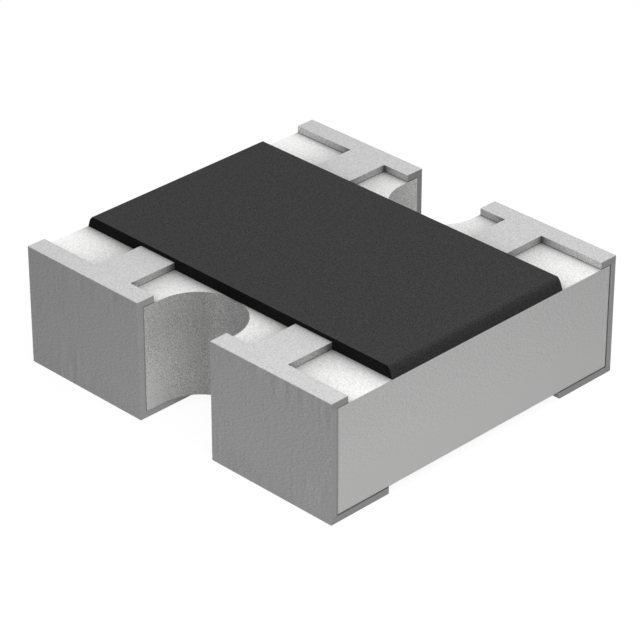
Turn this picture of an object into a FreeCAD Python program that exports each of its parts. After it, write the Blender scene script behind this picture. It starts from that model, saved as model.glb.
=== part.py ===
"""Thick-film chip resistor network: two resistors on one ceramic body, four terminals.

X runs along a row of two terminals, Y from one terminal side to the other, Z up from
the board. The origin is at the middle of the solder pads' plane. Lengths are in mm.
"""

import FreeCAD
import Part
import os

# Ceramic body
ceramic_length = 1.600
ceramic_width = 1.440
ceramic_height = 0.440
ceramic_edge_radius = 0.006
notch_radius = 0.189
notch_depth = 0.277

# Terminal outline, measured over the finished plating
terminal_to_notch = 0.002
strip_depth = 0.083
pad_depth = 0.292
leg_width = 0.185
leg_offset = 0.127

# Layers of a terminal, from the ceramic outwards
silver_thickness = 0.012
nickel_thickness = 0.007
tin_thickness = 0.011
plating_edge_radius = 0.006

# Silver under the overcoat: a neck from each leg to the landing of a resistor film
neck_length = 0.079
landing_width = 0.300
landing_depth = 0.120

# Resistor film and the slot that the trimming laser leaves in it
film_setback = 0.020
film_overlap = 0.050
film_thickness = 0.012
trim_slot_width = 0.020
trim_slot_plunge = 0.110
trim_slot_run = 0.120
trim_slot_offset = 0.060

# Glass over the film, and the black overcoat over everything between the terminals
glass_margin = 0.015
glass_thickness = 0.008
coat_setback = 0.271
coat_thickness = 0.016
coat_end_slope = 0.025
coat_edge_radius = 0.012

# Levels
plating_thickness = nickel_thickness + tin_thickness
terminal_thickness = silver_thickness + plating_thickness
ceramic_bottom = terminal_thickness
ceramic_top = ceramic_bottom + ceramic_height
terminal_top = ceramic_top + terminal_thickness
silver_top = ceramic_top + silver_thickness
glass_top = silver_top + film_thickness + glass_thickness
coat_top = glass_top + coat_thickness

# Places in plan, for the quarter of the part with X and Y above zero
ceramic_end = ceramic_length / 2
ceramic_side = ceramic_width / 2
terminal_side = ceramic_side + terminal_thickness
terminal_inner = notch_radius + terminal_to_notch
leg_inner = terminal_inner + leg_offset
leg_outer = leg_inner + leg_width
leg_centre = (leg_inner + leg_outer) / 2
coat_side = ceramic_side - coat_setback
landing_outer = coat_side - neck_length
landing_inner = landing_outer - landing_depth
film_end = landing_inner + film_overlap
film_width = landing_width - 2 * film_setback

# The four quarters, as the mirror signs of X and Y
quarters = {
    "back_right": (1, 1),
    "back_left": (-1, 1),
    "front_right": (1, -1),
    "front_left": (-1, -1),
}
halves = {"right": 1, "left": -1}

x_axis = FreeCAD.Vector(1, 0, 0)
y_axis = FreeCAD.Vector(0, 1, 0)
z_axis = FreeCAD.Vector(0, 0, 1)
centre = FreeCAD.Vector(0, 0, 0)


def block(x_span, y_span, z_span):
    """Box between the low and high value of each span."""
    corner = FreeCAD.Vector(x_span[0], y_span[0], z_span[0])
    return Part.makeBox(
        x_span[1] - x_span[0],
        y_span[1] - y_span[0],
        z_span[1] - z_span[0],
        corner,
    )


def around(middle, width):
    """Span of the given width about a middle value."""
    return (middle - width / 2, middle + width / 2)


def mirrored(shape, x_sign, y_sign):
    """The shape, moved to another quarter of the part."""
    if x_sign < 0:
        shape = shape.mirror(centre, x_axis)
    if y_sign < 0:
        shape = shape.mirror(centre, y_axis)
    return shape


def extruded_outline(points, direction):
    """Solid from a closed outline of straight sides, pushed along a direction."""
    wire = Part.makePolygon(points + points[:1])
    return Part.Face(wire).extrude(direction)


def same(a, b):
    """True where two places coincide."""
    return abs(a - b) < 1e-6


def edges_along(shape, axis, test):
    """Straight edges that run along an axis and whose middle passes the test."""
    found = []
    for edge in shape.Edges:
        run = edge.Vertexes[-1].Point - edge.Vertexes[0].Point
        if same(run.cross(axis).Length, 0) and test(edge.CenterOfMass):
            found.append(edge)
    return found


# Ceramic body with its notches


def notch():
    """Round-ended slot through the body, open to the back terminal side."""
    round_centre = ceramic_side - notch_depth + notch_radius
    height = terminal_top
    end = Part.makeCylinder(notch_radius, height, FreeCAD.Vector(0, round_centre, 0))
    mouth = block((-notch_radius, notch_radius), (round_centre, terminal_side), (0, height))
    return end.fuse(mouth).removeSplitter()


def notches():
    """The notch and its mirror on the front terminal side."""
    back = notch()
    return [back, mirrored(back, 1, -1)]


def ceramic_substrate():
    """Alumina block, notched between terminals, with the snapped edges worn round."""
    body = block(
        (-ceramic_end, ceramic_end),
        (-ceramic_side, ceramic_side),
        (ceramic_bottom, ceramic_top),
    )
    upright = edges_along(body, z_axis, lambda p: True)
    underneath = edges_along(body, y_axis, lambda p: same(p.z, ceramic_bottom))
    body = body.makeFillet(ceramic_edge_radius, upright + underneath)
    return body.cut(notches())


# Terminals


def terminal_form(inset):
    """Wrap-around terminal with a T-shaped top, its bare faces moved in by inset."""
    ends = (terminal_inner + inset, ceramic_end - inset)
    side = terminal_side - inset
    top = terminal_top - inset
    wall = block(ends, (ceramic_side, side), (inset, top))
    strip = block(ends, (terminal_side - strip_depth + inset, side), (ceramic_top, top))
    leg = block((leg_inner + inset, leg_outer - inset), (coat_side, side), (ceramic_top, top))
    pad = block(ends, (terminal_side - pad_depth + inset, side), (inset, ceramic_bottom))
    return wall.fuse([strip, leg, pad]).removeSplitter()


def tin_plating():
    """Outer tin, softly rounded where the wrap turns over the terminal side."""
    outside = terminal_form(0)
    rim = []
    for axis in (x_axis, z_axis):
        rim += edges_along(outside, axis, lambda p: same(p.y, terminal_side))
    outside = outside.makeFillet(plating_edge_radius, rim)
    return outside.cut(terminal_form(tin_thickness))


def nickel_barrier():
    """Nickel between the tin and the silver."""
    return terminal_form(tin_thickness).cut(terminal_form(plating_thickness))


def edge_electrode():
    """Silver on the terminal side of the ceramic, joining the top and bottom silver."""
    side_only = block((0, ceramic_end), (ceramic_side, terminal_side), (0, terminal_top))
    return terminal_form(plating_thickness).common(side_only).removeSplitter()


def lower_electrode():
    """Silver pad under the ceramic."""
    underside_only = block((0, ceramic_end), (0, ceramic_side), (0, ceramic_bottom))
    return terminal_form(plating_thickness).common(underside_only)


def upper_electrode():
    """T-shaped silver on top, its leg running in under the overcoat to a wide landing."""
    top_only = block((0, ceramic_end), (0, ceramic_side), (ceramic_top, terminal_top))
    bare = terminal_form(plating_thickness).common(top_only)
    level = (ceramic_top, silver_top)
    neck_width = leg_width - 2 * plating_thickness
    neck = block(around(leg_centre, neck_width), (landing_outer, coat_side), level)
    landing = block(around(leg_centre, landing_width), (landing_inner, landing_outer), level)
    return bare.fuse([neck, landing]).removeSplitter()


def both_ways(shape):
    """The shape and its mirror across the middle of the part."""
    return [shape, mirrored(shape, 1, -1)]


# Resistors


def bridge(width, end, cover):
    """Layer that lies on the ceramic and steps up onto the two landings.

    cover is the height of its top over what carries it.
    """
    step = landing_inner - cover
    low = ceramic_top + cover
    high = silver_top + cover
    outline = [
        (-end, ceramic_top),
        (end, ceramic_top),
        (end, high),
        (step, high),
        (step, low),
        (-step, low),
        (-step, high),
        (-end, high),
    ]
    near_side = leg_centre - width / 2
    points = [FreeCAD.Vector(near_side, y, z) for y, z in outline]
    return extruded_outline(points, FreeCAD.Vector(width, 0, 0))


def trim_slot():
    """L-shaped laser cut, plunged from the film's outer edge and turned along it."""
    depth = (ceramic_top, glass_top)
    outer_edge = leg_centre + film_width / 2
    tip = outer_edge - trim_slot_plunge
    plunge = block(
        (tip, outer_edge + glass_margin), around(trim_slot_offset, trim_slot_width), depth
    )
    run_start = trim_slot_offset + trim_slot_width / 2 - trim_slot_run
    run = block(
        (tip, tip + trim_slot_width), (run_start, run_start + trim_slot_run), depth
    )
    return plunge.fuse(run).removeSplitter()


def resistor_film():
    """Resistive glaze from one landing to the other."""
    layer = bridge(film_width, film_end, film_thickness)
    return layer.cut(both_ways(upper_electrode()) + [trim_slot()])


def glass_undercoat():
    """Thin glass over the film, cut through with it by the trimming laser."""
    width = film_width + 2 * glass_margin
    layer = bridge(width, film_end + glass_margin, film_thickness + glass_thickness)
    film = bridge(film_width, film_end, film_thickness)
    return layer.cut(both_ways(upper_electrode()) + [film, trim_slot()])


# Overcoat


def overcoat():
    """Black coat with sloping ends and straight sides, filled in round what it covers."""
    top_end = ceramic_end - coat_end_slope
    outline = [
        (-ceramic_end, ceramic_top),
        (ceramic_end, ceramic_top),
        (top_end, coat_top),
        (-top_end, coat_top),
    ]
    points = [FreeCAD.Vector(x, -coat_side, z) for x, z in outline]
    coat = extruded_outline(points, FreeCAD.Vector(0, 2 * coat_side, 0))
    shoulders = edges_along(coat, y_axis, lambda p: same(p.z, coat_top))
    coat = coat.makeFillet(coat_edge_radius, shoulders)
    covered = both_ways(upper_electrode()) + [resistor_film(), glass_undercoat()]
    covered += [mirrored(shape, -1, 1) for shape in covered]
    return coat.cut(covered)


# Export


def save(name, shape):
    """One STEP file for one piece."""
    shape.exportStep(os.path.join("parts", name + ".step"))


terminal_layers = {
    "upper_electrode": upper_electrode,
    "lower_electrode": lower_electrode,
    "edge_electrode": edge_electrode,
    "nickel_barrier": nickel_barrier,
    "tin_plating": tin_plating,
}
resistor_layers = {
    "resistor_film": resistor_film,
    "glass_undercoat": glass_undercoat,
}

os.makedirs("parts", exist_ok=True)
save("ceramic_substrate", ceramic_substrate())
for layer, make in terminal_layers.items():
    piece = make()
    for quarter, (x_sign, y_sign) in quarters.items():
        save(layer + "_" + quarter, mirrored(piece, x_sign, y_sign))
for layer, make in resistor_layers.items():
    piece = make()
    for half, x_sign in halves.items():
        save(layer + "_" + half, mirrored(piece, x_sign, 1))
save("overcoat", overcoat())
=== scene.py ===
import bmesh
import bpy
import math
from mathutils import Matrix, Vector


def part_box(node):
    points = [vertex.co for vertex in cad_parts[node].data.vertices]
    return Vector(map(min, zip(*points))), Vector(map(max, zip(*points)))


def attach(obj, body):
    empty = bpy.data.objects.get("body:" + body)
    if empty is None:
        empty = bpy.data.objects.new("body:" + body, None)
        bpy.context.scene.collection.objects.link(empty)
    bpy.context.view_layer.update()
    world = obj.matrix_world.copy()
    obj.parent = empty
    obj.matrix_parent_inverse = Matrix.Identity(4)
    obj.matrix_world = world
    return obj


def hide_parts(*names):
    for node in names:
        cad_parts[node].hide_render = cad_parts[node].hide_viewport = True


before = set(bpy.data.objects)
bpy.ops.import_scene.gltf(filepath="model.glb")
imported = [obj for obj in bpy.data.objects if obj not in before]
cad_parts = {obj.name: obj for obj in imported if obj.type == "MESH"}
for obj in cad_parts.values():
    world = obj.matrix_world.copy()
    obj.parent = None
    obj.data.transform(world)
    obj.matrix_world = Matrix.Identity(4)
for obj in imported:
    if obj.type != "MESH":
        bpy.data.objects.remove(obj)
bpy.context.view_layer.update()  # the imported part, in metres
print("frame loaded with", len(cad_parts), "nodes")

millimetre = 0.001
micrometre = 0.001 * millimetre
xAxis = Vector((1, 0, 0))
yAxis = Vector((0, 1, 0))
zAxis = Vector((0, 0, 1))


# Camera

photoView = {  # lengths in millimetres
    "azimuth": 45.0,  # degrees round from the front
    "elevation": 30.0,
    "distance": 12.10,  # from the point that it looks at
    "lens": 180.6,
    "aimHeight": 0.20,
    "aimRight": -0.0042,
    "aimUp": 0.0012,
    "near": 1.0,
    "far": 2000.0,
}


def directionTo(view):  # from the part to where a camera or a lamp stands
    azimuth = math.radians(view["azimuth"])
    elevation = math.radians(view["elevation"])
    return Vector((
        math.sin(azimuth) * math.cos(elevation),
        -math.cos(azimuth) * math.cos(elevation),
        math.sin(elevation),
    ))


def standAt(place, away, name, data):  # at a place in millimetres, looking back against a direction
    stood = bpy.data.objects.new(name, data)
    stood.location = place * millimetre
    stood.rotation_mode = "QUATERNION"
    stood.rotation_quaternion = (-away).to_track_quat("-Z", "Y")
    bpy.context.scene.collection.objects.link(stood)
    return stood


def placeCamera(view):
    away = directionTo(view)
    right = zAxis.cross(away).normalized()
    up = away.cross(right)
    aim = view["aimHeight"] * zAxis + view["aimRight"] * right + view["aimUp"] * up
    data = bpy.data.cameras.new("photoCamera")
    data.lens = view["lens"]
    data.clip_start = view["near"] * millimetre
    data.clip_end = view["far"] * millimetre
    bpy.context.scene.camera = standAt(aim + away * view["distance"], away, "photoCamera", data)


placeCamera(photoView)
print("camera placed")


# Node tools


def feed(tree, socket, term):  # with the output of another node, or with a plain value
    if isinstance(term, bpy.types.NodeSocket):
        tree.links.new(term, socket)
    else:
        socket.default_value = term


def addNode(tree, kind, terms=None, **settings):  # terms go to the inputs, by name or number
    node = tree.nodes.new(kind)
    for name, value in settings.items():
        setattr(node, name, value)
    for socket, term in (terms or {}).items():
        feed(tree, node.inputs[socket], term)
    return node


def newMaterial(name, values):  # Principled material with plain values on its own sockets
    material = bpy.data.materials.new(name)
    material.use_nodes = True
    shader = material.node_tree.nodes["Principled BSDF"]
    for socket, value in values.items():
        shader.inputs[socket].default_value = value
    return material, material.node_tree, shader


def newGroup(name, inputs, outputs):  # an input whose default is three numbers is a vector
    group = bpy.data.node_groups.new(name, "ShaderNodeTree")
    for socket, value in inputs.items():
        kind = "NodeSocketVector" if isinstance(value, tuple) else "NodeSocketFloat"
        made = group.interface.new_socket(socket, in_out="INPUT", socket_type=kind)
        made.default_value = value
    for socket in outputs:
        group.interface.new_socket(socket, in_out="OUTPUT", socket_type="NodeSocketFloat")
    return group


def grey(level):
    return (level, level, level, 1)


def combine(tree, operation, first, second=0):
    node = addNode(tree, "ShaderNodeMath", {0: first, 1: second}, operation=operation)
    return node.outputs[0]


def chain(tree, operation, terms):
    made = terms[0]
    for term in terms[1:]:
        made = combine(tree, operation, made, term)
    return made


def times(tree, *terms):
    return chain(tree, "MULTIPLY", terms)


def greatest(tree, *terms):
    return chain(tree, "MAXIMUM", terms)


def minus(tree, first, second):
    return combine(tree, "SUBTRACT", first, second)


def ramp(tree, value, start, end, atStart=0, atEnd=1):  # goes from one level to another, and stays there
    terms = {"Value": value, "From Min": start, "From Max": end, "To Min": atStart, "To Max": atEnd}
    return addNode(tree, "ShaderNodeMapRange", terms).outputs["Result"]


def blend(tree, share, without, full):  # one shade where the share is 0, the other where it is 1
    terms = {"Factor": share, "A": without, "B": full}
    return addNode(tree, "ShaderNodeMix", terms, data_type="FLOAT").outputs["Result"]


def only(tree, share, shade):  # a shade where the share is 1, and no change where it is 0
    return blend(tree, share, 1, shade)


# Shared surface effects, and painted shade at the foot of steps

effects = {
    "noiseDetail": 2,
    "noiseRoughness": 0.6,
    "noiseRange": (0.25, 0.75),  # what the noise mostly stays between
    # the darkest that the painted corner shade goes
    "darkestCorner": 0.25,
}


def placeInMillimetres(tree):
    place = addNode(tree, "ShaderNodeTexCoord").outputs["Object"]
    terms = {0: place, "Scale": 1 / millimetre}
    return addNode(tree, "ShaderNodeVectorMath", terms, operation="SCALE").outputs["Vector"]


def makePlace():  # where a point is, in millimetres from the middle of the part
    group = newGroup("placeOnPart", {}, ("Along", "Across", "Height", "Right", "Back"))
    axes = addNode(group, "ShaderNodeSeparateXYZ", {0: placeInMillimetres(group)}).outputs
    addNode(group, "NodeGroupOutput", {
        "Along": combine(group, "ABSOLUTE", axes["X"]),
        "Across": combine(group, "ABSOLUTE", axes["Y"]),
        "Height": axes["Z"],
        "Right": axes["X"],
        "Back": axes["Y"],
    })
    return group


def makeGrain():  # speckle of fired, printed or plated surfaces, drawn out along any axis
    group = newGroup(
        "surfaceGrain",
        {"Grains per mm": (100, 100, 100), "Darkest": 0.9, "Brightest": 1.1},
        ("Shade", "Height"),
    )
    given = addNode(group, "NodeGroupInput").outputs
    terms = {0: placeInMillimetres(group), 1: given["Grains per mm"]}
    stretched = addNode(group, "ShaderNodeVectorMath", terms, operation="MULTIPLY")
    noise = addNode(group, "ShaderNodeTexNoise", {
        "Vector": stretched.outputs["Vector"],
        "Scale": 1,
        "Detail": effects["noiseDetail"],
        "Roughness": effects["noiseRoughness"],
    }).outputs["Fac"]
    shade = ramp(group, noise, *effects["noiseRange"], given["Darkest"], given["Brightest"])
    addNode(group, "NodeGroupOutput", {"Shade": shade, "Height": noise})
    return group


def makeCornerShade():  # painted shade, darker towards the foot of a step, distances in millimetres
    group = newGroup("cornerShade", {"Distance": 1, "Strength": 0.5, "Reach": 0.05}, ["Shade"])
    given = addNode(group, "NodeGroupInput").outputs
    reaches = combine(group, "DIVIDE", greatest(group, given["Distance"], 0), given["Reach"])
    fade = combine(group, "EXPONENT", times(group, reaches, -1))
    light = minus(group, 1, times(group, given["Strength"], fade))
    addNode(group, "NodeGroupOutput", {"Shade": greatest(group, light, effects["darkestCorner"])})
    return group


placeOnPart = makePlace()
surfaceGrain = makeGrain()
cornerShade = makeCornerShade()


def addPlace(tree):
    return addNode(tree, "ShaderNodeGroup", node_tree=placeOnPart).outputs


def addGrain(tree, perMillimetre, darkest, brightest):
    terms = {"Grains per mm": perMillimetre, "Darkest": darkest, "Brightest": brightest}
    return addNode(tree, "ShaderNodeGroup", terms, node_tree=surfaceGrain).outputs


def addCornerShade(tree, distance, strength, reach):
    terms = {"Distance": distance, "Strength": strength, "Reach": reach}
    return addNode(tree, "ShaderNodeGroup", terms, node_tree=cornerShade).outputs["Shade"]


def colourBy(tree, shader, colour, shade):
    node = addNode(tree, "ShaderNodeVectorMath", {0: colour, "Scale": shade}, operation="SCALE")
    tree.links.new(node.outputs["Vector"], shader.inputs["Base Color"])


def reliefBy(tree, shader, height, depth):  # depth in micrometres
    bump = addNode(tree, "ShaderNodeBump", {"Height": height, "Distance": depth * micrometre})
    tree.links.new(bump.outputs["Normal"], shader.inputs["Normal"])


# Stage

stageLook = {
    "floorSize": 400.0,  # millimetres
    "floorDrop": 0.0005,
    "floorGrey": 0.2,
    "shadowShare": 0.12,  # how much of the floor's white is real light, so that a shadow shows
    "floorLight": 0.64,  # what reaches the paper far from the object
    "studio": 0.22,  # brightness of the room round the object, where white is 1
}

lamps = {  # direction in degrees, distance and size in millimetres, brightness where white is 1
    "overhead": {"azimuth": 42, "elevation": 88, "distance": 5.5, "size": 9, "brightness": 1.12},
    "side": {"azimuth": 70, "elevation": 45, "distance": 4, "size": 3, "brightness": 1.15},
}


def seenDirectly(tree):  # 1 for what the camera sees, plain, mirrored or through glass
    rays = addNode(tree, "ShaderNodeLightPath").outputs
    return greatest(tree, rays["Is Camera Ray"], rays["Is Glossy Ray"], rays["Is Transmission Ray"])


def makeWorld():
    world = bpy.data.worlds.new("studio")
    world.use_nodes = True
    tree = world.node_tree
    background = tree.nodes["Background"]
    background.inputs["Color"].default_value = grey(1)
    strength = ramp(tree, seenDirectly(tree), 0, 1, stageLook["studio"], 1)
    tree.links.new(strength, background.inputs["Strength"])
    bpy.context.scene.world = world


def makeFloor():
    bpy.ops.object.select_all(action="DESELECT")
    bpy.ops.mesh.primitive_plane_add(
        size=stageLook["floorSize"] * millimetre,
        location=(0, 0, -stageLook["floorDrop"] * millimetre),
    )
    floor = bpy.context.object
    floor.name = "floor"
    material = bpy.data.materials.new("palePaper")
    material.use_nodes = True
    tree = material.node_tree
    tree.nodes.remove(tree.nodes["Principled BSDF"])
    glow = 1 - stageLook["shadowShare"] * stageLook["floorLight"]
    paper = addNode(tree, "ShaderNodeBsdfDiffuse", {"Color": grey(stageLook["floorGrey"])})
    shaded = addNode(tree, "ShaderNodeBsdfDiffuse", {"Color": grey(stageLook["shadowShare"])})
    white = addNode(tree, "ShaderNodeEmission", {"Strength": glow})
    bright = addNode(tree, "ShaderNodeAddShader", {0: shaded.outputs[0], 1: white.outputs[0]})
    terms = {0: seenDirectly(tree), 1: paper.outputs[0], 2: bright.outputs[0]}
    choose = addNode(tree, "ShaderNodeMixShader", terms)
    tree.links.new(choose.outputs[0], tree.nodes["Material Output"].inputs["Surface"])
    floor.data.materials.append(material)


def addLamp(name, lamp):
    side = lamp["size"] * millimetre
    data = bpy.data.lights.new(name, "AREA")
    data.shape = "SQUARE"
    data.size = side
    data.energy = math.pi * lamp["brightness"] * side**2
    away = directionTo(lamp)
    light = standAt(away * lamp["distance"], away, name, data)
    light.visible_camera = False


makeWorld()
makeFloor()
for name, lamp in lamps.items():
    addLamp(name, lamp)
bpy.context.scene.view_settings.view_transform = "Standard"
print("stage and lamps ready")


# Modelling tools, in millimetres

samePlace = 0.0001  # two places closer than this count as one
mergeWithin = 0.00001
squarely = 0.9  # how much of its normal a face has in the direction that it looks


def span(node):  # lowest and highest corner of a CAD node
    low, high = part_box(node)
    return low / millimetre, high / millimetre


def selectOnly(piece):
    bpy.ops.object.select_all(action="DESELECT")
    bpy.context.view_layer.objects.active = piece
    piece.select_set(True)


def startBlock(name, low, high):  # a cube stretched between two corners
    bpy.ops.object.select_all(action="DESELECT")
    low, high = Vector(low), Vector(high)
    bpy.ops.mesh.primitive_cube_add(size=1, location=(low + high) / 2, scale=high - low)
    block = bpy.context.object
    block.name = name
    bpy.ops.object.transform_apply(location=True, rotation=False, scale=True)
    return block


def near(a, b):
    return abs(a - b) < samePlace


def middle(part):  # of a face or an edge
    return sum((corner.co for corner in part.verts), Vector()) / len(part.verts)


def runsAlong(edge, axis):
    run = edge.verts[1].co - edge.verts[0].co
    return near(abs(run.normalized().dot(axis)), 1)


def looks(face, direction):
    return face.normal.dot(direction) > squarely


def pick(block, kind, test):  # in edit mode, selects only the faces or edges that pass
    bpy.ops.mesh.select_mode(type=kind)
    bpy.ops.mesh.select_all(action="DESELECT")
    mesh = bmesh.from_edit_mesh(block.data)
    mesh.normal_update()
    for part in mesh.faces if kind == "FACE" else mesh.edges:
        if test(part):
            part.select_set(True)
    mesh.select_flush_mode()
    bmesh.update_edit_mesh(block.data)


def cutAcross(axis, level):  # a new edge loop where the plane meets the mesh
    bpy.ops.mesh.select_all(action="SELECT")
    bpy.ops.mesh.bisect(plane_co=axis * level, plane_no=axis, threshold=mergeWithin)


def pull(block, test, move):  # extrudes the faces that pass
    pick(block, "FACE", test)
    bpy.ops.mesh.extrude_region_move(TRANSFORM_OT_translate={"value": move})


def roundEdges(block, radius, segments, test):
    pick(block, "EDGE", test)
    bpy.ops.mesh.bevel(offset=radius, segments=segments, affect="EDGES", clamp_overlap=True)


def carve(block, cutter):
    selectOnly(block)
    bpy.ops.object.modifier_add(type="BOOLEAN")
    change = block.modifiers[-1]
    change.operation = "DIFFERENCE"
    change.solver = "EXACT"
    change.object = cutter
    bpy.ops.object.modifier_apply(modifier=change.name)
    bpy.data.objects.remove(cutter)


def settle(piece, material, stoodFor):  # into metres and onto the frame
    selectOnly(piece)
    piece.scale = (millimetre, millimetre, millimetre)
    bpy.ops.object.transform_apply(location=False, rotation=False, scale=True)
    piece.data.materials.clear()
    piece.data.materials.append(material)
    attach(piece, "root")
    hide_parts(stoodFor)


bodyLow, bodyHigh = span("ceramic_substrate")
coatLow, coatHigh = span("overcoat")
tinLow, tinHigh = span("tin_plating_back_right")
filmLow, filmHigh = span("resistor_film_right")


# Ceramic body

ceramic = {
    "notchRadius": 0.189,
    "notchDepth": 0.277,
    "notchSides": 128,
    "edgeRadius": 0.006,  # worn corners and lower ends
    "edgeSegments": 4,
    "smoothAngle": 25,  # degrees
    "overrun": 0.05,  # how far a cutting tool reaches past what it cuts
}


def notchTool(ySign):  # round-ended slot, open to one terminal side
    centre = bodyHigh.y - ceramic["notchDepth"] + ceramic["notchRadius"]
    bpy.ops.object.select_all(action="DESELECT")
    bpy.ops.mesh.primitive_cylinder_add(
        vertices=ceramic["notchSides"],
        radius=ceramic["notchRadius"],
        depth=bodyHigh.z - bodyLow.z + 2 * ceramic["overrun"],
        location=(0, ySign * centre, (bodyLow.z + bodyHigh.z) / 2),
    )
    tool = bpy.context.object
    bpy.ops.object.transform_apply(location=True, rotation=False, scale=False)
    bpy.ops.object.mode_set(mode="EDIT")
    pick(tool, "FACE", lambda f: ySign * middle(f).y > centre + samePlace)
    bpy.ops.transform.translate(value=(0, ySign * (bodyHigh.y - centre), 0))
    bpy.ops.object.mode_set(mode="OBJECT")
    return tool


def makeCeramic():
    block = startBlock("ceramic_block", bodyLow, bodyHigh)
    for ySign in (1, -1):
        carve(block, notchTool(ySign))

    def isWorn(edge):
        atEnd = near(abs(middle(edge).x), bodyHigh.x)
        isLower = runsAlong(edge, yAxis) and near(middle(edge).z, bodyLow.z)
        return atEnd and (isLower or runsAlong(edge, zAxis))

    bpy.ops.object.mode_set(mode="EDIT")
    roundEdges(block, ceramic["edgeRadius"], ceramic["edgeSegments"], isWorn)
    bpy.ops.object.mode_set(mode="OBJECT")
    bpy.ops.object.shade_smooth_by_angle(angle=math.radians(ceramic["smoothAngle"]))
    return block


# Terminals

tin = {
    "padDepth": 0.292,
    "stripDepth": 0.083,
    "legWidth": 0.185,
    "thickness": 0.011,  # of the tin alone, over the nickel
    "edgeRadius": 0.0025,
    "edgeSegments": 3,
    "flatAngle": 1,  # degrees within which two faces are joined as one
    # the signs of x and y that turn the back right terminal into the others
    "mirrored": {"back_left": (-1, 1), "front_right": (1, -1), "front_left": (-1, -1)},
}
legMiddle = (filmLow.x + filmHigh.x) / 2
legEnds = (legMiddle - tin["legWidth"] / 2, legMiddle + tin["legWidth"] / 2)
padEnd = tinHigh.y - tin["padDepth"]
stripEnd = tinHigh.y - tin["stripDepth"]


def terminalBlock():  # the whole wrap of the back right terminal, filled through to the ceramic
    wall = bodyHigh.y
    block = startBlock("tin_terminal_back_right", (tinLow.x, wall, tinLow.z), tinHigh)
    bpy.ops.object.mode_set(mode="EDIT")
    for level in (bodyLow.z, bodyHigh.z):
        cutAcross(zAxis, level)
    for x in legEnds:
        cutAcross(xAxis, x)

    def isPad(face):
        return looks(face, -yAxis) and tinLow.z < middle(face).z < bodyLow.z

    def isStrip(face):
        return looks(face, -yAxis) and bodyHigh.z < middle(face).z < tinHigh.z

    def isLeg(face):
        return isStrip(face) and legEnds[0] < middle(face).x < legEnds[1]

    def isBare(edge):  # convex, and not where the wrap ends on the ceramic or at the overcoat
        place = middle(edge)
        onCeramic = place.y < wall + samePlace and bodyLow.z - samePlace < place.z < bodyHigh.z + samePlace
        return edge.is_convex and not near(place.y, coatHigh.y) and not onCeramic

    pull(block, isPad, (0, padEnd - wall, 0))
    pull(block, isStrip, (0, stripEnd - wall, 0))
    pull(block, isLeg, (0, coatHigh.y - stripEnd, 0))
    bpy.ops.mesh.select_all(action="SELECT")
    bpy.ops.mesh.dissolve_limited(angle_limit=math.radians(tin["flatAngle"]))
    roundEdges(block, tin["edgeRadius"], tin["edgeSegments"], isBare)
    bpy.ops.object.mode_set(mode="OBJECT")
    carve(block, tinCavity())
    return block


def tinCavity():  # room for the nickel and the silver, cut on into the ceramic's space
    skin = tin["thickness"]
    low = Vector((tinLow.x + skin, padEnd + skin, tinLow.z + skin))
    high = Vector((tinHigh.x - skin, tinHigh.y - skin, bodyHigh.z - skin))
    room = startBlock("tin_cavity", low, high)
    bpy.ops.object.mode_set(mode="EDIT")
    cutAcross(yAxis, stripEnd + skin)
    cutAcross(xAxis, legEnds[0] + skin)
    cutAcross(xAxis, legEnds[1] - skin)

    def inLeg(face):
        return legEnds[0] + skin < middle(face).x < legEnds[1] - skin

    def isTop(face):
        return looks(face, zAxis) and (middle(face).y > stripEnd + skin or inLeg(face))

    def isLegEnd(face):
        return looks(face, -yAxis) and middle(face).z > high.z and inLeg(face)

    pull(room, isTop, (0, 0, tinHigh.z - skin - high.z))
    pull(room, isLegEnd, (0, coatHigh.y - ceramic["overrun"] - low.y, 0))
    bpy.ops.object.mode_set(mode="OBJECT")
    return room


def mirrorCopy(piece, name, xSign, ySign):
    selectOnly(piece)
    bpy.ops.object.duplicate()
    copy = bpy.context.object
    copy.name = name
    copy.scale = (xSign, ySign, 1)
    bpy.ops.object.transform_apply(location=False, rotation=False, scale=True)
    bpy.ops.object.mode_set(mode="EDIT")
    bpy.ops.mesh.select_all(action="SELECT")
    bpy.ops.mesh.remove_doubles(threshold=mergeWithin)
    bpy.ops.mesh.normals_make_consistent(inside=False)
    bpy.ops.object.mode_set(mode="OBJECT")
    return copy


# Overcoat

coat = {
    "endSlope": 0.025,
    "creaseSupport": 0.006,
    "bulge": 0.0024,  # how far the sloping ends stand out in the middle of their height
    "bulgeLoops": 5,
    "smoothAngle": 70,  # degrees
}


def makeCoat():
    block = startBlock("black_coat", coatLow, coatHigh)
    bpy.ops.object.mode_set(mode="EDIT")

    def lengthen(level, distance):  # moves the edge at one level of both ends
        for sign in (1, -1):
            pick(block, "EDGE", lambda e: (
                runsAlong(e, yAxis) and near(middle(e).z, level) and sign * middle(e).x > 0
            ))
            bpy.ops.transform.translate(value=(sign * distance, 0, 0))

    lengthen(coatHigh.z, -coat["endSlope"])
    for loop in range(1, coat["bulgeLoops"] + 1):
        share = loop / (coat["bulgeLoops"] + 1)
        level = coatLow.z + share * (coatHigh.z - coatLow.z)
        cutAcross(zAxis, level)
        lengthen(level, 4 * coat["bulge"] * share * (1 - share))  # the whole bulge half way up
    for sign in (1, -1):
        cutAcross(xAxis, sign * (coatHigh.x - coat["endSlope"] - coat["creaseSupport"]))
    bpy.ops.object.mode_set(mode="OBJECT")
    bpy.ops.object.shade_smooth_by_angle(angle=math.radians(coat["smoothAngle"]))
    return block


# Finishes, with painted light and shade

# A grain is the grains per millimetre along each axis, then the darkest and the brightest shade.
# A row of four is two places in millimetres, then the shade at each; most such rows are painted light and
# shade.
# A row of two is how dark the painted shade at the foot of a step is, then how far that reaches.

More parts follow.
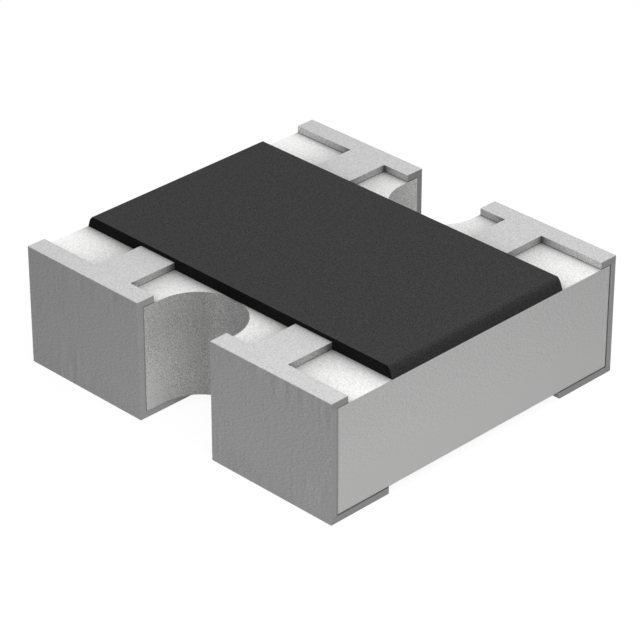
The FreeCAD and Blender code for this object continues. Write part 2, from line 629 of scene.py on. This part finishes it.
aluminaLook = {
    "colour": (0.96, 0.96, 0.955),
    "shader": {"Roughness": 0.6, "IOR": 1.5},
    "relief": 0.15,  # micrometres
    "topGrain": ((235, 235, 235), 0.74, 1.34),
    "blotch": ((45, 45, 45), 0.98, 1.02),
    # Painted light along the top, lighter towards both ends, the left end most.
    "topByRightEnd": (0.54, 0.79, 0.955, 0.975),
    "topByLeftEnd": (-0.60, -0.79, 1.02, 1.16),
    "endGrain": ((150, 100, 300), 0.79, 1.20),
    "endLevels": (0.03, 0.47, 1.14, 0.88),  # painted light, lighter at the foot than at the top
    # Coarse grain of the fired notch wall, darker overall as painted shade in the recess.
    "notchGrain": ((340, 340, 340), 0.10, 1.24),
    "notchMouth": (0.49, 0.72, 1, 1.6),  # painted light, brighter towards the open side
    "notchBend": (0.08, 0.12, 1, 0.82),  # painted shade, darker where the round end turns into the sides
    # painted light, lighter at the foot of the notch than at the top
    "notchLevels": (0.07, 0.35, 1.37, 0.85),
    # painted light, the back notch lighter than the front one
    "backNotch": (0.40, 0.45, 1, 1.13),
    # Painted shade on the top at the feet of the overcoat, the strips and the legs.
    "byCoat": (0.60, 0.040),
    "byStrip": (0.67, 0.021),
    "byLeg": (0.50, 0.075),
    # Painted shade in the seams where the end face meets the tin.
    "seamWidth": 0.0035,
    "seamFade": 0.00175,
    "seamShade": 0.3,
}

tinLook = {
    "colour": (0.61, 0.61, 0.61),
    "shader": {"Roughness": 0.5, "Metallic": 0.1, "Specular IOR Level": 0.3},
    "relief": 0.1,  # micrometres
    "topGrain": ((235, 235, 235), 0.73, 1.29),
    "stepGrain": ((235, 235, 235), 0.50, 1.50),
    "brushing": ((90, 300, 340), 0.64, 1.36),
    "streaks": ((44, 44, 5), 0.84, 1.13),
    "streakPatches": ((4, 4, 5), 0.44, 0.60),  # noise level where they begin and where they are full
    "streakMiddle": 0.26,  # level of the wall that has the fewest streaks
    "streaksFromMiddle": (0.06, 0.18, 0.3, 1),
    "wallLevels": (0.0, 0.50, 1.06, 0.94),  # painted light, lighter at the foot than at the top
    # painted light, the walls darker towards the left end
    "wallByRight": (-0.8, 0.2, 0.93, 1.045),
    # Painted shade on the end faces, darker still on the pads' and the strips' ends.
    "endShade": 0.795,
    "padEndShade": 0.885,
    "stripEndShade": 0.87,
    "notchEndShade": (-0.5, 0.5, 0.95, 0.54),  # painted shade, darker at the back
    # Painted shade on the top at the overcoat's foot, and on the sides of the legs and strips.
    "topByCoat": (0.29, 0.04),
    "legSideShade": 0.80,
    "legSideByCoat": (1.1, 0.042),
    "legSideByStrip": (0.85, 0.016),
    "stripSide": (0.0008, 0.0003),  # distances over which a leg's side gives way to a strip's
    "stripSideShade": (0.60, 0.78, 0.88, 1.12),  # painted light, lighter towards the open end
    "stripSideByLeg": (0.95, 0.028),
    # Painted shade on the tin along its seam with the ceramic.
    "seamWidth": 0.0035,
    "seamFade": 0.00175,
    "seamShade": 0.35,
}

coatLook = {
    "colour": (0.0415, 0.0415, 0.0415),
    "shader": {"Roughness": 0.5, "Specular IOR Level": 0.03},
    # A darker copy of the black for the long sides: painted shade.
    "paintedShadeSideColour": (0.015, 0.015, 0.015),
    "sideShader": {"Roughness": 0.5, "Specular IOR Level": 0.0},
    "grain": ((180, 180, 180), 0.5, 1.5),
    "relief": 0.08,  # micrometres
}

fringe = 0.0005  # millimetres over which one face's finish gives way to the next one's


def atFace(tree, place, face):  # 1 on an outer face, 0 further in
    return ramp(tree, place, face - 2 * fringe, face - fringe)


def stepDistances(tree, place):  # to the overcoat's side, the strip's inner edge and the leg
    toCoat = minus(tree, place["Across"], coatHigh.y)
    toStrip = minus(tree, stripEnd, place["Across"])
    before = minus(tree, legEnds[0], place["Along"])
    after = minus(tree, place["Along"], legEnds[1])
    return toCoat, toStrip, greatest(tree, before, after)


def makeAlumina():
    look = aluminaLook
    material, tree, shader = newMaterial("alumina", look["shader"])
    place = addPlace(tree)
    along, across, height = place["Along"], place["Across"], place["Height"]
    isEnd = atFace(tree, along, bodyHigh.x)
    isTop = atFace(tree, height, bodyHigh.z)
    isNotch = times(
        tree,
        ramp(tree, along, ceramic["notchRadius"] + 3 * fringe, ceramic["notchRadius"] + fringe),
        ramp(tree, height, bodyHigh.z - fringe, bodyHigh.z - 3 * fringe),
        ramp(tree, height, bodyLow.z + fringe, bodyLow.z + 3 * fringe),
    )

    onTop = addGrain(tree, *look["topGrain"])
    onEnd = addGrain(tree, *look["endGrain"])
    blotch = addGrain(tree, *look["blotch"])
    toCoat, toStrip, toLeg = stepDistances(tree, place)
    # painted shade at the feet of the overcoat, the strip and the leg
    corners = times(
        tree,
        addCornerShade(tree, toCoat, *look["byCoat"]),
        addCornerShade(tree, toStrip, *look["byStrip"]),
        addCornerShade(tree, toLeg, *look["byLeg"]),
        # painted light along the top, lighter towards both ends
        ramp(tree, place["Right"], *look["topByRightEnd"]),
        ramp(tree, place["Right"], *look["topByLeftEnd"]),
    )
    plain = times(
        tree,
        blend(tree, isEnd, onTop["Shade"], onEnd["Shade"]),
        blotch["Shade"],
        only(tree, isTop, corners),
        # painted light on the end faces, lighter at the foot
        only(tree, isEnd, ramp(tree, height, *look["endLevels"])),
    )

    # coarse grain of the notch wall, darker overall as painted shade in the recess, with painted light and
    # shade by place in the notch
    inNotch = addGrain(tree, *look["notchGrain"])
    within = times(
        tree,
        inNotch["Shade"],
        ramp(tree, across, *look["notchMouth"]),
        ramp(tree, along, *look["notchBend"]),
        ramp(tree, height, *look["notchLevels"]),
        ramp(tree, place["Back"], *look["backNotch"]),
    )

    # painted shade along the seams where the end face meets the tin
    width = look["seamWidth"]
    faded = width + look["seamFade"]
    overPad = ramp(tree, across, tinLow.y - 2 * fringe, tinLow.y)
    foot = times(tree, overPad, ramp(tree, height, bodyLow.z + faded, bodyLow.z + width))
    upright = ramp(tree, across, bodyHigh.y - faded, bodyHigh.y - width)
    seam = times(tree, isEnd, greatest(tree, foot, upright))

    shade = times(tree, blend(tree, isNotch, plain, within), only(tree, seam, look["seamShade"]))
    colourBy(tree, shader, look["colour"], shade)
    reliefBy(tree, shader, blend(tree, isNotch, onTop["Height"], inNotch["Height"]), look["relief"])
    return material


def makeTin():
    look = tinLook
    material, tree, shader = newMaterial("matteTin", look["shader"])
    place = addPlace(tree)
    along, across, height = place["Along"], place["Across"], place["Height"]
    inner = tinHigh.y - tin["edgeRadius"]
    isWall = atFace(tree, across, tinHigh.y)
    isEnd = atFace(tree, along, bodyHigh.x)
    isTop = atFace(tree, height, tinHigh.z)
    isNotchEnd = ramp(tree, along, tinLow.x + 2 * fringe, tinLow.x + fringe)
    isPadEnd = times(tree, isEnd, ramp(tree, height, bodyLow.z + fringe, bodyLow.z))
    isStripEnd = times(tree, isEnd, ramp(tree, height, bodyHigh.z - fringe, bodyHigh.z))
    isSide = greatest(tree, isWall, isEnd, isNotchEnd)
    isStep = times(
        tree,
        ramp(tree, height, bodyHigh.z - 2 * fringe, bodyHigh.z),
        ramp(tree, height, tinHigh.z - fringe, tinHigh.z - 3 * fringe),
        ramp(tree, across, inner - fringe, inner - 3 * fringe),
        ramp(tree, along, bodyHigh.x - fringe, bodyHigh.x - 2 * fringe),
        ramp(tree, along, tinLow.x + fringe, tinLow.x + 2 * fringe),
    )

    onTop = addGrain(tree, *look["topGrain"])
    onStep = addGrain(tree, *look["stepGrain"])
    brushing = addGrain(tree, *look["brushing"])
    streaks = addGrain(tree, *look["streaks"])
    scale, low, high = look["streakPatches"]
    patches = ramp(tree, addGrain(tree, scale, 0, 1)["Height"], low, high)
    off = combine(tree, "ABSOLUTE", minus(tree, height, look["streakMiddle"]))
    patches = times(tree, patches, ramp(tree, off, *look["streaksFromMiddle"]))
    wall = times(tree, brushing["Shade"], only(tree, patches, streaks["Shade"]))

    # painted shade on the steps' sides, darker at the feet of the overcoat, the strip and the leg
    toCoat, toStrip, toLeg = stepDistances(tree, place)
    legSide = times(
        tree,
        addCornerShade(tree, toCoat, *look["legSideByCoat"]),
        addCornerShade(tree, toStrip, *look["legSideByStrip"]),
        look["legSideShade"],
    )
    stripSide = times(
        tree,
        ramp(tree, along, *look["stripSideShade"]),
        addCornerShade(tree, toLeg, *look["stripSideByLeg"]),
    )
    stepSide = blend(tree, ramp(tree, toStrip, *look["stripSide"]), legSide, stripSide)

    beyondCeramic = greatest(  # distance from the ceramic, along which painted shade darkens the tin at the seam
        tree,
        minus(tree, along, bodyHigh.x),
        minus(tree, across, bodyHigh.y),
        minus(tree, height, bodyHigh.z),
        minus(tree, bodyLow.z, height),
    )
    width = look["seamWidth"]
    seam = ramp(tree, beyondCeramic, width, width - look["seamFade"])

    # The grain, brushing and streaks are the tin's own; the rest is painted light and shade.
    shade = times(
        tree,
        blend(tree, isWall, blend(tree, isStep, onTop["Shade"], onStep["Shade"]), wall),
        only(tree, isSide, ramp(tree, height, *look["wallLevels"])),
        only(tree, isWall, ramp(tree, place["Right"], *look["wallByRight"])),
        only(tree, seam, look["seamShade"]),
        only(tree, isEnd, look["endShade"]),
        only(tree, isPadEnd, look["padEndShade"]),
        only(tree, isStripEnd, look["stripEndShade"]),
        only(tree, isNotchEnd, ramp(tree, place["Back"], *look["notchEndShade"])),
        only(tree, isStep, stepSide),
        only(tree, isTop, addCornerShade(tree, toCoat, *look["topByCoat"])),
    )
    colourBy(tree, shader, look["colour"], shade)
    reliefBy(tree, shader, blend(tree, isWall, onTop["Height"], brushing["Height"]), look["relief"])
    return material


def makeBlack(name, colour, values):
    material, tree, shader = newMaterial(name, values)
    grain = addGrain(tree, *coatLook["grain"])
    colourBy(tree, shader, colour, grain["Shade"])
    reliefBy(tree, shader, grain["Height"], coatLook["relief"])
    return material


alumina = makeAlumina()
matteTin = makeTin()
blackEpoxy = makeBlack("blackEpoxy", coatLook["colour"], coatLook["shader"])
blackEpoxyPaintedShadeSide = makeBlack("blackEpoxyPaintedShadeSide", coatLook["paintedShadeSideColour"], coatLook["sideShader"])


# Finishes of what the overcoat and the plating cover

innerGrain = {
    "fine": (0.85, 1.1),
    "broad": (0.93, 1.05),
    "broadSize": 8,  # times the fine grain's
}

innerLooks = {  # grains per millimetre, relief in micrometres
    "printedSilver": {
        "nodes": ("upper_electrode", "lower_electrode", "edge_electrode"),
        "colour": (0.80, 0.79, 0.76),
        "shader": {"Metallic": 0.6, "Roughness": 0.55},
        "grains": 160,
        "relief": 0.6,
    },
    "platedNickel": {
        "nodes": ("nickel_barrier",),
        "colour": (0.62, 0.60, 0.56),
        "shader": {"Metallic": 0.9, "Roughness": 0.35},
        "grains": 220,
        "relief": 0.2,
    },
    "resistorGlaze": {
        "nodes": ("resistor_film",),
        "colour": (0.07, 0.07, 0.07),
        "shader": {"Roughness": 0.6},
        "grains": 120,
        "relief": 0.8,
    },
    "firedGlass": {
        "nodes": ("glass_undercoat",),
        "colour": (0.75, 0.82, 0.76),
        "shader": {"Roughness": 0.2, "Transmission Weight": 0.6},
        "grains": 60,
        "relief": 0.2,
    },
}


def makeInner(name, look):
    material, tree, shader = newMaterial(name, look["shader"])
    size = look["grains"]
    fine = addGrain(tree, (size, size, size), *innerGrain["fine"])
    size = look["grains"] / innerGrain["broadSize"]
    broad = addGrain(tree, (size, size, size), *innerGrain["broad"])
    colourBy(tree, shader, look["colour"], times(tree, fine["Shade"], broad["Shade"]))
    reliefBy(tree, shader, fine["Height"], look["relief"])
    return material


for name, look in innerLooks.items():
    finish = makeInner(name, look)
    for nodeName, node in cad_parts.items():
        if nodeName.startswith(look["nodes"]):
            for slot in node.material_slots:
                slot.material = finish
print("finishes ready")


# Assembly

settle(makeCeramic(), alumina, "ceramic_substrate")
print("ceramic body made")

firstTerminal = terminalBlock()
for quarter, (xSign, ySign) in tin["mirrored"].items():
    piece = mirrorCopy(firstTerminal, "tin_terminal_" + quarter, xSign, ySign)
    settle(piece, matteTin, "tin_plating_" + quarter)
settle(firstTerminal, matteTin, "tin_plating_back_right")
print("terminals made")

blackCoat = makeCoat()
settle(blackCoat, blackEpoxy, "overcoat")
# the long sides take the darker copy of the black, painted shade
blackCoat.data.materials.append(blackEpoxyPaintedShadeSide)
for face in blackCoat.data.polygons:
    if abs(face.normal.y) > squarely:
        face.material_index = 1
print("overcoat made")
